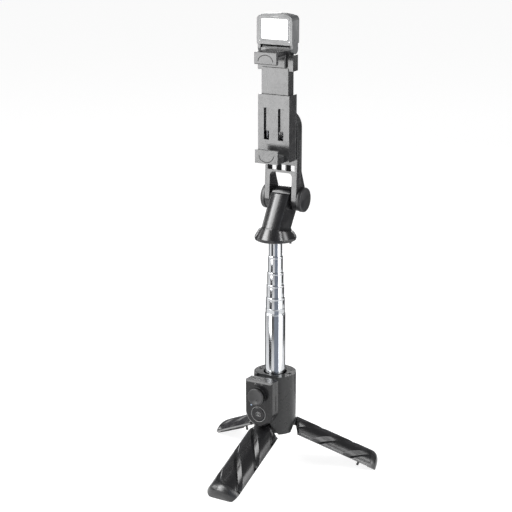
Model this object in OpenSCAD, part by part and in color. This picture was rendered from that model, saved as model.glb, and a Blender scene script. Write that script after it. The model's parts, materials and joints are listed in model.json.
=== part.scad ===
// Telescopic selfie stick with fold-out tripod legs, phone clamp, lamp and a docked remote.
// Origin: on the floor under the mast axis. +Z up, the phone side faces -Y.

/* [Hub] */
// Radius of the hub that the legs fold out of
hub_r = 16.4; // [16:0.1:18]
// Height of the hub's lower rim above the floor
hub_z0 = 31.4; // [31:0.1:32]
// Height of the hub's top face above the floor
hub_z1 = 78.5; // [78:0.1:79]
// Radius of the hole in the top plate around the mast
plate_hole_r = 9.2; // [9:0.1:9.3]

/* [Legs] */
// Distance from a leg's hinge pin to its tip
leg_len = 78; // [76:0.5:80]
// How far a leg swings out from straight down, in degrees
leg_open = 65; // [63:0.5:67]
// Outer radius of the curved leg shell
leg_r = 16.2; // [16:0.1:16.3]
// Wall of the leg shell
leg_wall = 2.2; // [1.8:0.1:2.6]
// Half of the angle that one leg shell covers, in degrees
leg_half = 58; // [55:0.5:58.5]

/* [Mast] */
// Outer radius of the thickest mast section
mast_r = 7.9; // [7.85:0.01:7.9]
// Drop in radius from one section to the next
mast_step = 0.54; // [0.54:0.01:0.56]
// Wall of a mast section
mast_wall = 0.3; // [0.25:0.01:0.3]
// Length of the sliding mast sections
section_len = 96; // [94:0.5:96]

/* [Head] */
// Pivot height of the phone holder above the floor
pivot_z = 214; // [213.5:0.1:214.5]
// Pivot offset behind the mast axis
pivot_y = 16; // [15.5:0.1:16.5]
// Half width of the neck tongue between the fork arms
neck_half = 7.7; // [7.5:0.1:7.7]
// Radius of the bell that closes over the hub
bell_r = 16; // [15.5:0.1:16.3]
// Radius of the round covers over the pivot bolt
cap_r = 9.5; // [9:0.1:10.5]

/* [Phone clamp] */
// Opening between the two jaw pads as it stands
jaw_gap = 73; // [72:0.5:74]
// Half width of the jaws
jaw_half = 9.6; // [9:0.1:10]
// Height of the clamp's turning axis
rotor_z = 270; // [269:0.5:271]

/* [Lamp] */
// Half width of the lamp
lamp_half = 14.8; // [14:0.1:15.2]
// Height of the lamp's top edge
lamp_z1 = 356; // [355:0.1:358]
// Height of the lamp's hinge pin
lamp_pin_z = 330.3; // [330.2:0.1:330.4]

/* [Remote] */
// Half width of the remote control
remote_half = 11.7; // [11.4:0.1:12]
// Height of the remote's flat end above the floor when docked
remote_z1 = 78; // [77:0.1:78]
// Height of the remote's round end above the floor when docked
remote_z0 = 41.4; // [41.2:0.1:41.6]
// Thickness of the remote without its joystick
remote_t = 10.5; // [10:0.1:11.5]

/* [Hidden] */
$fn = 96;

leg_angles = [-93, 27, 147];
screw_angles = [-33, 87, 207];
screw_orbit = 11.9;
// the feet's lower edge lies this far from the mast axis when a leg is folded
foot_chord = 6.4;
hinge_r = 10.4;
hinge_z = leg_len * cos(leg_open) - (foot_chord - hinge_r) * sin(leg_open);
leg_root = 4.8;
foot_len = 7.5;
pin_r = 1.2;
lug_half = 4.1;
sleeve_r = 9.2;
carrier_z1 = 41.8;
dock_half = 9.0;
dock_bed_half = 9.9;
dock_lip_y = -12.4;
dock_back_y = -10.8;
dock_arc_z = 52.4;

// top ends of the six mast sections, as the stick stands
section_top = [130.5, 139.4, 149.5, 159.4, 172.2, 192];
function section_r(k) = mast_r - mast_step * (k - 1);
socket_z0 = 185.4;
bell_z0 = 184.7;

arm_in = 9.3;
arm_out = 13.7;
arm_end_r = 9;
fork_front = 8.7;
fork_back = 16.2;
window_z = 235;

pad_z0 = 251.6;
pad_z1 = pad_z0 + jaw_gap;
jaw_front = -16.8;
lower_lip_y = -15.2;
jaw_wall = -3.9;
jaw_top = 329;
housing_z1 = 296;
lamp_y = 2.6;
barrel_r = 2.6;
bracket_z1 = 326;
lamp_z0 = 333.1;
cheek_r = 4;
lamp_front = -3;
lamp_seam = 6.4;
disc_y = fork_back - 1.2;

// the remote's body stands clear of the hub's round front by this shift
remote_shift = -2.6;
remote_y0 = -14;
remote_y1 = remote_y0 - remote_t;
remote_split = -18.5;
remote_arc_z = remote_z0 + remote_half;
joy_z = 66.9;
joy_y = -22;
button_z = 51.4;

dark = [0.09, 0.09, 0.10];
charcoal = [0.22, 0.22, 0.23];
steel = [0.78, 0.79, 0.80];
chrome = [0.88, 0.89, 0.91];

module ring(r_out, r_in, z0, z1) {
    difference() {
        translate([0, 0, z0]) cylinder(r = r_out, h = z1 - z0);
        translate([0, 0, z0 - 1]) cylinder(r = r_in, h = z1 - z0 + 2);
    }
}
// round bar along X, Y or Z
module bar_x(r, x0, x1, y, z) { translate([x0, y, z]) rotate([0, 90, 0]) cylinder(r = r, h = x1 - x0); }
module bar_y(r, y0, y1, x, z) { translate([x, y1, z]) rotate([90, 0, 0]) cylinder(r = r, h = y1 - y0); }
module bar_z(r, z0, z1, x, y) { translate([x, y, z0]) cylinder(r = r, h = z1 - z0); }
// an outline in (y, z) pushed along X, and one in (x, z) pushed along Y
module push_x(x0, x1) { translate([x0, 0, 0]) rotate([90, 0, 90]) linear_extrude(x1 - x0) children(); }
module push_y(y0, y1) { translate([0, y1, 0]) rotate([90, 0, 0]) linear_extrude(y1 - y0) children(); }
module block(x, y, z) { translate([x[0], y[0], z[0]]) cube([x[1] - x[0], y[1] - y[0], z[1] - z[0]]); }
// flat outline with a round lower end
module tongue_outline(half, arc_z, top_z) {
    translate([0, arc_z]) circle(r = half);
    translate([-half, arc_z]) square([2 * half, top_z - arc_z]);
}
module around_legs() { for (a = leg_angles) rotate([0, 0, a]) children(); }

// ---- hub and dock ----
module leg_notch() {
    rotate([90, 0, 90]) translate([0, 0, 8])
        linear_extrude(12) polygon([[-11.4, 30.4], [11.4, 30.4], [7.9, 36], [4.9, 40.7], [-4.9, 40.7], [-7.9, 36]]);
}
module dock_space() {
    push_y(-20, dock_lip_y) tongue_outline(dock_half, dock_arc_z, 90);
    push_y(dock_lip_y - 0.01, dock_back_y) tongue_outline(dock_bed_half, dock_arc_z, 90);
}
module hub_shell() {
    color(charcoal) difference() {
        translate([0, 0, hub_z0]) cylinder(r = hub_r, h = hub_z1 - hub_z0);
        bar_z(sleeve_r + 0.05, 30, 80, 0, 0);
        bar_z(hub_r - 1.9, 30, carrier_z1 + 0.1, 0, 0);
        bar_z(hub_r - 1, hub_z1 - 2, 80, 0, 0);
        dock_space();
        around_legs() leg_notch();
        for (a = screw_angles) rotate([0, 0, a]) bar_z(1, 40, 48, screw_orbit, 0);
    }
}
module hub_top_plate() {
    color([0.42, 0.42, 0.43]) difference() {
        ring(hub_r - 1.05, plate_hole_r, hub_z1 - 1.95, hub_z1 - 0.1);
        dock_space();
        for (s = [-1, 1]) bar_z(1.25, 70, 80, 12.8 * s, 0);
    }
}
module dock_catch() {
    color([0.85, 0.85, 0.85]) push_x(-1.6, 1.6)
        polygon([[dock_back_y, 49.2], [dock_back_y, 52.4], [-11, 51.6], [-11, 50]]);
}
module mast_sleeve() {
    color(dark) ring(sleeve_r, mast_r + 0.05, 42, 69);
}
module leg_carrier() {
    color(dark) difference() {
        ring(hub_r - 2, 8.7, hub_z0 + 0.6, carrier_z1);
        around_legs() {
            block([6, 20], [-lug_half - 0.3, lug_half + 0.3], [30, 40.4]);
            translate([hinge_r, -7.4, hinge_z]) rotate([-90, 0, 0]) cylinder(r = pin_r, h = 14.8);
        }
        for (a = screw_angles) rotate([0, 0, a]) {
            bar_z(1.05, 30, 50, screw_orbit, 0);
            bar_z(2, 30, 33.6, screw_orbit, 0);
        }
    }
}
module leg_pins() {
    color(steel) around_legs()
        translate([hinge_r, -7.2, hinge_z]) rotate([-90, 0, 0]) cylinder(r = pin_r, h = 14.4);
}
module carrier_screws() {
    color(steel) for (a = screw_angles) rotate([0, 0, a]) difference() {
        union() {
            bar_z(1.9, 32.2, 33.6, screw_orbit, 0);
            bar_z(1, 33.5, 47, screw_orbit, 0);
        }
        for (t = [0, 90]) translate([screw_orbit, 0, 32.2]) rotate([0, 0, t]) cube([2.2, 0.5, 1.2], center = true);
    }
}

// ---- legs: drawn folded straight down about +X, then swung out and turned to their place ----
module place_leg(a) {
    rotate([0, 0, a]) translate([hinge_r, 0, hinge_z]) rotate([0, -leg_open, 0])
        translate([-hinge_r, 0, 0]) children();
}
module leg_wedge() {
    polygon([[0, 0], [30, -30 * tan(leg_half)], [30, 30 * tan(leg_half)]]);
}
module leg(a) {
    foot_z = foot_len - leg_len;
    color(dark) place_leg(a) difference() {
        union() {
            // curved shell, arched at its root
            difference() {
                ring(leg_r, leg_r - leg_wall, foot_z, -leg_root);
                translate([0, 0, -100]) difference() {
                    cylinder(r = 30, h = 120);
                    translate([0, 0, -1]) linear_extrude(122) leg_wedge();
                }
                for (s = [-1, 1]) rotate([90, 0, 90]) linear_extrude(30)
                    polygon([[4.6 * s, 0], [4.6 * s, -leg_root], [16 * s, -leg_root - 6.6], [16 * s, 0]]);
            }
            // hinge lug and the rib that carries it
            translate([0, lug_half, 0]) rotate([90, 0, 0]) linear_extrude(2 * lug_half) {
                translate([hinge_r, 0]) circle(r = 2);
                polygon([[hinge_r + 1.6, 1.2], [15, -3.2], [15, -15], [13.6, -15], [hinge_r - 1.4, -1.4]]);
            }
            // peg that catches its neighbour's leg when folded
            translate([3.4, -9.6, -63]) rotate([0, 90, 0]) cylinder(r = 1.1, h = 8.2);
        }
        translate([hinge_r, -10, 0]) rotate([-90, 0, 0]) cylinder(r = pin_r + 0.05, h = 20);
    }
}
module foot(a) {
    nose = 6.5;
    color([0.13, 0.13, 0.13]) place_leg(a) intersection() {
        rotate_extrude() polygon(concat(
            [[0, -leg_len], [leg_r - nose, -leg_len]],
            [for (t = [10:10:90]) [leg_r - nose + nose * sin(t), -leg_len + nose * (1 - cos(t))]],
            [[leg_r, foot_len - leg_len - 0.02], [0, foot_len - leg_len - 0.02]]));
        translate([0, 0, -leg_len - 1]) linear_extrude(20) intersection() {
            leg_wedge();
            translate([foot_chord, -20]) square([20, 40]);
        }
    }
}
module leg_a() { leg(leg_angles[0]); }
module leg_b() { leg(leg_angles[1]); }
module leg_c() { leg(leg_angles[2]); }
module foot_a() { foot(leg_angles[0]); }
module foot_b() { foot(leg_angles[1]); }
module foot_c() { foot(leg_angles[2]); }

// ---- mast ----
module section(k) {
    r = section_r(k);
    top = section_top[k - 1];
    rim = section_r(k + 1) + 0.05;
    color(chrome) rotate_extrude() polygon([
        [r - mast_wall, top - section_len], [r, top - section_len], [r, top - 0.4], [r - 0.3, top],
        [rim, top], [rim, top - 1.2], [r - mast_wall, top - 2]]);
}
module bush(k) {
    r = section_r(k);
    z = section_top[k - 1] - section_len;
    color([0.75, 0.76, 0.72]) ring(r + mast_step - mast_wall - 0.04, r, z, z + 8);
}
module mast_section_1() {
    color(chrome) ring(mast_r, mast_r - mast_wall, hub_z0 + 0.2, 125.4);
}
module mast_stop_ring() { color(dark) ring(mast_r + 0.35, mast_r, 38.5, 41.7); }
module mast_collar() {
    rim = section_r(2) + 0.05;
    color(chrome) rotate_extrude() polygon([
        [mast_r - mast_wall, 121], [mast_r - mast_wall, 125.4], [mast_r - 0.1, 125.4],
        [mast_r - 0.1, 126.2], [mast_r - 0.4, 126.6], [mast_r - 0.4, 129.6], [mast_r - 0.15, 130],
        [mast_r - 0.15, 130.4], [rim, 130.5], [rim, 121]]);
}
module mast_section_2() { section(2); }
module mast_section_3() { section(3); }
module mast_section_4() { section(4); }
module mast_section_5() { section(5); }
module mast_section_6() {
    r = section_r(6);
    color(chrome) ring(r, r - mast_wall, section_top[5] - section_len, section_top[5]);
}
module section_bush_2() { bush(2); }
module section_bush_3() { bush(3); }
module section_bush_4() { bush(4); }
module section_bush_5() { bush(5); }
module section_bush_6() { bush(6); }
module swivel_socket() {
    r = section_r(6);
    color(steel) rotate_extrude() polygon([
        [r, socket_z0], [5.9, socket_z0], [5.9, 189.5], [6.6, 189.5], [6.6, 193.2], [0, 193.2],
        [0, section_top[5]], [r, section_top[5]]]);
}

// ---- neck and pivot ----
module bell() {
    rotate_extrude() polygon([
        [0, bell_z0], [bell_r - 1, bell_z0], [bell_r - 0.3, bell_z0 + 0.4], [bell_r, bell_z0 + 1.2],
        [bell_r, bell_z0 + 2.6], [bell_r - 4.2, 194.5], [bell_r - 5, 195.4], [0, 195.4]]);
}
module neck() {
    lean = atan2(15.5, 25);
    color(dark) difference() {
        union() {
            // bell, with a ledge cut into each side
            difference() {
                bell();
                for (s = [0, 1]) mirror([s, 0, 0]) push_x(neck_half, 20)
                    polygon([[-20, 195.8], [20, 188.6], [20, 210], [-20, 210]]);
            }
            // tongue with a rounded front that leans back to the pivot
            intersection() {
                push_x(-neck_half, neck_half) polygon([[-14, 190], [-14, 219], [9, 219], [16, 206],
                    [20.2, 206], [13.4, 196.3], [9.8, 191], [9.8, 188], [-11, 188]]);
                translate([0, -11.4, 193.4]) rotate([-lean, 0, 0]) translate([0, bell_r, -20])
                    cylinder(r = bell_r, h = 60);
            }
            bar_x(arm_end_r, -neck_half, neck_half, pivot_y, pivot_z);
            for (s = [-1, 1]) bar_z(0.9, bell_z0 - 1.8, bell_z0 + 1, 12.8 * s, 0);
        }
        bar_z(6.65, bell_z0 - 1, 193.4, 0, 0);
        bar_z(8.05, bell_z0 - 1, 189.3, 0, 0);
        bar_x(2.05, -20, 20, pivot_y, pivot_z);
    }
}
module neck_retainer() { color(dark) ring(8, 5.95, 187.4, 189.25); }
module pivot_bolt() {
    color(steel) {
        bar_x(2, -15.6, 14.6, pivot_y, pivot_z);
        bar_x(3.8, 14.5, 16.2, pivot_y, pivot_z);
    }
}
module pivot_nut() {
    color(steel) difference() {
        translate([-16, pivot_y, pivot_z]) rotate([0, 90, 0]) cylinder(r = 4.2, h = 1.7, $fn = 6);
        bar_x(2, -17, -13, pivot_y, pivot_z);
    }
}
module friction_washers() {
    color([0.5, 0.5, 0.48]) for (s = [0, 1]) mirror([s, 0, 0]) difference() {
        bar_x(7, neck_half + 0.03, arm_in - 0.03, pivot_y, pivot_z);
        bar_x(2.05, 0, 20, pivot_y, pivot_z);
    }
}

// ---- fork ----
module arm_side() {
    translate([pivot_y, pivot_z]) circle(r = arm_end_r);
    polygon([[pivot_y - arm_end_r, pivot_z], [fork_front, 242], [fork_front, 250], [fork_back, 250],
        [fork_back, 236], [19.2, 228.5], [23.2, 219.5], [pivot_y + arm_end_r, pivot_z]]);
}
module fork() {
    color(dark) difference() {
        union() {
            push_x(-arm_out, arm_out) arm_side();
            push_y(fork_front, fork_back) {
                translate([0, rotor_z]) circle(r = arm_out);
                translate([-arm_out, 245]) square([2 * arm_out, rotor_z - 245]);
            }
        }
        // gap between the arms, round at the top
        push_y(-5, 30) {
            translate([-arm_in, 200]) square([2 * arm_in, window_z - 3 - 200]);
            translate([-arm_in + 3, 200]) square([2 * arm_in - 6, window_z - 200]);
            for (s = [-1, 1]) translate([(arm_in - 3) * s, window_z - 3]) circle(r = 3);
        }
        // row of three openings over the crossbar
        for (k = [-1, 0, 1]) block([8 * k - 3.4, 8 * k + 3.4], [0, 30], [236.8, 241.2]);
        bar_x(2.05, -20, 20, pivot_y, pivot_z);
        for (s = [0, 1]) mirror([s, 0, 0]) bar_x(5, arm_out - 0.6, 20, pivot_y, pivot_z);
        // channel down the outer side of each arm
        for (s = [0, 1]) mirror([s, 0, 0]) block([arm_out - 0.7, 20], [10.6, 13.6], [226, 260]);
        bar_y(6, 0, 30, 0, rotor_z);
        bar_y(9.1, disc_y, 30, 0, rotor_z);
    }
}
module pivot_caps() {
    color(dark) for (s = [0, 1]) mirror([s, 0, 0]) difference() {
        bar_x(cap_r, arm_out, 17.2, pivot_y, pivot_z);
        bar_x(5, arm_out - 1, 16.4, pivot_y, pivot_z);
        // shallow dish in the outer face
        translate([17.2 + 58, pivot_y, pivot_z]) sphere(r = 58.6);
    }
}
module rotor_screw() {
    color(steel) {
        bar_y(1.5, 9.2, disc_y + 0.1, 0, rotor_z);
        bar_y(8.8, disc_y + 0.05, fork_back - 0.05, 0, rotor_z);
    }
}

// ---- clamp ----
module clamp_housing() {
    color(dark) difference() {
        union() {
            block([-13.2, 13.2], [jaw_wall, 6.9], [246, housing_z1]);
            block([-jaw_half, jaw_half], [lower_lip_y, jaw_wall + 0.1], [246, pad_z0 - 1.2]);
            block([-jaw_half, jaw_half], [lower_lip_y, lower_lip_y + 2.6], [246, pad_z0 + 4.6]);
        }
        block([-11.6, 11.6], [jaw_wall + 1.5, 7], [250.4, housing_z1 + 1]);
        // thumb slots that lighten the front wall
        for (s = [-1, 1]) block([6 * s - 2.2, 6 * s + 2.2], [-5, -2], [262, 286]);
        for (s = [-1, 1]) bar_z(1.25, 247, 251, 8.6 * s, 2.3);
    }
}
module clamp_cover() {
    color(dark) difference() {
        union() {
            block([-13.2, 13.2], [6.95, 8.4], [246, housing_z1]);
            bar_y(5.95, 8.3, disc_y + 0.05, 0, rotor_z);
        }
        bar_y(1.5, 9.2, 20, 0, rotor_z);
    }
}
module lower_pad() {
    color([0.2, 0.2, 0.2]) block([-9, 9], [lower_lip_y + 2.6, jaw_wall], [pad_z0 - 1.2, pad_z0]);
}
module guide_rods() { color(steel) for (s = [-1, 1]) bar_z(1.25, 247, 294, 8.6 * s, 2.3); }
module clamp_springs() {
    color(steel) for (s = [-1, 1]) translate([4.4 * s, 2.3, 0]) ring(1.9, 1.3, 250.6, 297);
}
module slider() {
    color(dark) difference() {
        union() {
            block([-11.2, 11.2], [jaw_wall + 1.9, 6.6], [268.5, 316]);
            block([-lamp_half, lamp_half], [-1.4, 6.5], [314, bracket_z1]);
            block([-12.2, 12.2], [-1, 5.2], [322, lamp_pin_z]);
            bar_x(barrel_r, -12.2, 12.2, lamp_y, lamp_pin_z);
        }
        for (s = [-1, 1]) bar_z(1.3, 260, 312.5, 8.6 * s, 2.3);
        for (s = [-1, 1]) bar_z(2.3, 260, 315.5, 4.4 * s, 2.3);
        bar_x(1, -20, 20, lamp_y, lamp_pin_z);
    }
}
module upper_jaw() {
    color(dark) {
        block([-jaw_half, jaw_half], [jaw_front, -1.4], [pad_z1 + 1.2, jaw_top]);
        block([-jaw_half, jaw_half], [jaw_front, jaw_front + 2.6], [pad_z1 - 4.6, jaw_top]);
        block([-jaw_half, jaw_half], [jaw_wall, -1.4], [316.2, jaw_top]);
    }
}
module upper_pad() {
    color([0.2, 0.2, 0.2]) block([-9, 9], [jaw_front + 2.6, jaw_wall], [pad_z1, pad_z1 + 1.2]);
}
module lamp_pin() { color(steel) bar_x(1, -14.4, 14.4, lamp_y, lamp_pin_z); }

// ---- lamp ----
// lamp outline in (x, z): a box with a slightly arched top
module lamp_outline(inset) {
    arch_r = 70;
    corner_r = 3.5;
    half = lamp_half - inset;
    side_z = lamp_z1 - 5;
    intersection() {
        union() {
            translate([-half, lamp_z0 + inset]) square([2 * half, side_z - lamp_z0 - inset]);
            translate([corner_r - half, side_z - 1]) square([2 * (half - corner_r), 10]);
            for (s = [-1, 1]) translate([s * (half - corner_r), side_z]) circle(r = corner_r);
        }
        translate([0, lamp_z1 - arch_r]) circle(r = arch_r - inset, $fn = 200);
    }
}
module lamp_case() {
    color([0.45, 0.46, 0.47]) difference() {
        union() {
            push_y(lamp_front, lamp_seam) lamp_outline(0);
            for (s = [0, 1]) mirror([s, 0, 0]) push_x(12.5, lamp_half) {
                translate([lamp_y, lamp_pin_z]) circle(r = cheek_r);
                translate([lamp_y - cheek_r, lamp_pin_z]) square([cheek_r + lamp_seam - lamp_y, 7]);
            }
        }
        push_y(lamp_front - 1, -1.5) lamp_outline(2.2);
        push_y(-1.6, 7) lamp_outline(1.9);
        bar_x(1.05, -14.5, 14.5, lamp_y, lamp_pin_z);
    }
}
module lamp_back() {
    color([0.16, 0.16, 0.17]) difference() {
        push_y(lamp_seam + 0.05, 9.9) lamp_outline(0.8);
        push_y(6.4, 8.4) lamp_outline(2.4);
        bar_y(3.3, 8, 11, 0, 345);
    }
}
module lamp_diffuser() { color([1, 1, 0.98]) push_y(lamp_front + 0.05, -1.65) lamp_outline(2.3); }
module led_board() { color([0.85, 0.87, 0.85]) push_y(1, 2.2) lamp_outline(2.2); }
module led_chips() {
    color([0.95, 0.9, 0.6]) for (x = [-9, -3, 3, 9]) for (z = [339, 345, 351])
        translate([x - 1.4, 0.1, z - 1.4]) cube([2.8, 0.88, 2.8]);
}
module lamp_battery() { color([0.6, 0.62, 0.66]) block([-11, 11], [2.4, 7.1], [338, 351.6]); }
module lamp_button() {
    color([0.3, 0.3, 0.31]) {
        bar_y(3.2, 8.2, 10.5, 0, 345);
        bar_y(4, 7.7, 8.3, 0, 345);
    }
}

// ---- remote ----
module clear_of_hub() { translate([0, remote_shift, 0]) children(); }
module remote_outline(inset) {
    half = remote_half - inset;
    translate([0, remote_arc_z]) circle(r = half);
    translate([-half, remote_arc_z]) square([2 * half, remote_z1 - inset - remote_arc_z]);
}
module remote_front() {
    bevel = 1.2;
    color(dark) clear_of_hub() difference() {
        union() {
            push_y(remote_y1 + bevel, remote_split) remote_outline(0);
            hull() {
                push_y(remote_y1 + bevel, remote_y1 + bevel + 0.01) remote_outline(0, $fn = 48);
                push_y(remote_y1, remote_y1 + 0.01) remote_outline(bevel, $fn = 48);
            }
        }
        push_y(remote_y1 + 1.5, remote_split + 1) remote_outline(1.3);
        bar_y(6.4, -30, -20, 0, joy_z);
        bar_y(5.45, -30, -20, 0, button_z);
        bar_y(0.6, -30, -20, -6.3, 58);
    }
}
module remote_back() {
    color(dark) {
        clear_of_hub() difference() {
            push_y(remote_split + 0.02, remote_y0) remote_outline(0);
            push_y(remote_split - 1, remote_y0 - 1.35) remote_outline(1.3);
            // slot along the seam on each side
            for (s = [-1, 1]) block([11.9 * s - 0.8, 11.9 * s + 0.8], [-19, remote_split + 0.9], [54, 66]);
        }
        // tongue that runs in the dock
        push_y(remote_y0 + remote_shift - 0.05, dock_lip_y + 0.2) tongue_outline(dock_half - 0.3, dock_arc_z, 77);
        push_y(dock_lip_y + 0.15, dock_back_y - 0.25) tongue_outline(dock_bed_half - 0.3, dock_arc_z, 77);
    }
}
module remote_board() {
    color([0.1, 0.35, 0.2]) clear_of_hub() {
        push_y(-20, -19) remote_outline(1.5);
        bar_y(2.5, -20.6, -19.9, 0, button_z);
    }
}
module coin_cell() { color(steel) clear_of_hub() bar_y(10, -18.7, -15.5, 0, 53.5); }
module joystick_collar() {
    color(dark) clear_of_hub() {
        difference() {
            bar_y(6.4, remote_y1 - 0.8, remote_y1 + 1.5, 0, joy_z);
            bar_y(4.9, -30, -20, 0, joy_z);
        }
        difference() {
            bar_y(6.9, remote_y1 + 1.55, remote_y1 + 2.2, 0, joy_z);
            bar_y(4.9, -30, -20, 0, joy_z);
        }
    }
}
module joystick_yoke() {
    color(steel) clear_of_hub() {
        bar_x(0.8, -4.6, 4.6, joy_y, joy_z);
        bar_z(0.7, joy_z - 1.9, joy_z + 1.9, 0, joy_y);
    }
}
module joystick_cap() {
    cap_y = remote_y1 - 5.4;
    color(dark) clear_of_hub() translate([0, 0, joy_z]) rotate([90, 0, 0]) difference() {
        // +Z here is the cap's own axis, out of the remote's face
        union() {
            translate([0, 0, -joy_y + 1.1]) cylinder(r = 1.2, h = 4);
            rotate_extrude() polygon([
                [0, -joy_y + 1.8], [4.2, -joy_y + 1.8], [4.2, -joy_y + 2.4], [3.2, -joy_y + 4],
                [3.6, -cap_y - 2.2], [6.0, -cap_y - 1.8], [6.6, -cap_y - 1.3], [6.6, -cap_y - 0.5],
                [6.2, -cap_y], [0, -cap_y]]);
        }
        // dished top for the thumb
        translate([0, 0, -cap_y + 17.2]) sphere(r = 18.1);
    }
}
module shutter_button() {
    color([0.11, 0.11, 0.12]) clear_of_hub() {
        bar_y(5.3, remote_y1 - 0.35, -23, 0, button_z);
        bar_y(1.2, -23.1, -21.2, 0, button_z);
    }
}
module remote_light() { color([0.7, 0.8, 0.9]) clear_of_hub() bar_y(0.58, remote_y1 + 0.1, -20.1, -6.3, 58); }

hub_shell();
hub_top_plate();
dock_catch();
mast_sleeve();
leg_carrier();
leg_pins();
carrier_screws();
leg_a();
leg_b();
leg_c();
foot_a();
foot_b();
foot_c();
mast_section_1();
mast_stop_ring();
mast_collar();
mast_section_2();
mast_section_3();
mast_section_4();
mast_section_5();
mast_section_6();
section_bush_2();
section_bush_3();
section_bush_4();
section_bush_5();
section_bush_6();
swivel_socket();
neck();
neck_retainer();
pivot_bolt();
pivot_nut();
friction_washers();
fork();
pivot_caps();
rotor_screw();
clamp_housing();
clamp_cover();
lower_pad();
guide_rods();
clamp_springs();
slider();
upper_jaw();
upper_pad();
lamp_pin();
lamp_case();
lamp_back();
lamp_diffuser();
led_board();
led_chips();
lamp_battery();
lamp_button();
remote_front();
remote_back();
remote_board();
coin_cell();
joystick_collar();
joystick_yoke();
joystick_cap();
shutter_button();
remote_light();
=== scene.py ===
# Studio picture of a telescopic selfie stick standing on its fold-out legs.
import json
import math
import bmesh
import bpy
from mathutils import Matrix, Vector


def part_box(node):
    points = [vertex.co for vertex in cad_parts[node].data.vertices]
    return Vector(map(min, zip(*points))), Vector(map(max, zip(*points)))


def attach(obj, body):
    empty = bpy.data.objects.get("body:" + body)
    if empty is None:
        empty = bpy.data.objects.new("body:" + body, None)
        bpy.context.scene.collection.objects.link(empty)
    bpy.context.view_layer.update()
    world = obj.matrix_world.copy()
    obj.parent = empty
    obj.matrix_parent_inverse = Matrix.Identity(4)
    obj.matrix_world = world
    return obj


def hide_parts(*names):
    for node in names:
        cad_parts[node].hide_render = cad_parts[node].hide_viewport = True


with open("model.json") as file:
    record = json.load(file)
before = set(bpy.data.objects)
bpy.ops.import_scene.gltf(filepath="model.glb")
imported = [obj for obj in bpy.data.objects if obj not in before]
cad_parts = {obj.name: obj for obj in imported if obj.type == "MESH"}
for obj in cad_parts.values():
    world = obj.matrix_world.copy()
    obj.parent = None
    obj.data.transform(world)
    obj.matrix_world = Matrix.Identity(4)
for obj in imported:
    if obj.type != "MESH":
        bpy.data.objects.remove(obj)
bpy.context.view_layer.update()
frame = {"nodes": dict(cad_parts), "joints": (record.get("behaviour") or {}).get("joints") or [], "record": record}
mm = 0.001
nodes = frame["nodes"]
record = frame["record"]
nodeBody = {n: b for b, members in record["behaviour"]["bodies"].items() for n in members}
nodeSlot = {part["node"]: part["material_slot"] for part in record["subparts"]}
hinges = {j["name"]: j for j in frame["joints"]}

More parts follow.
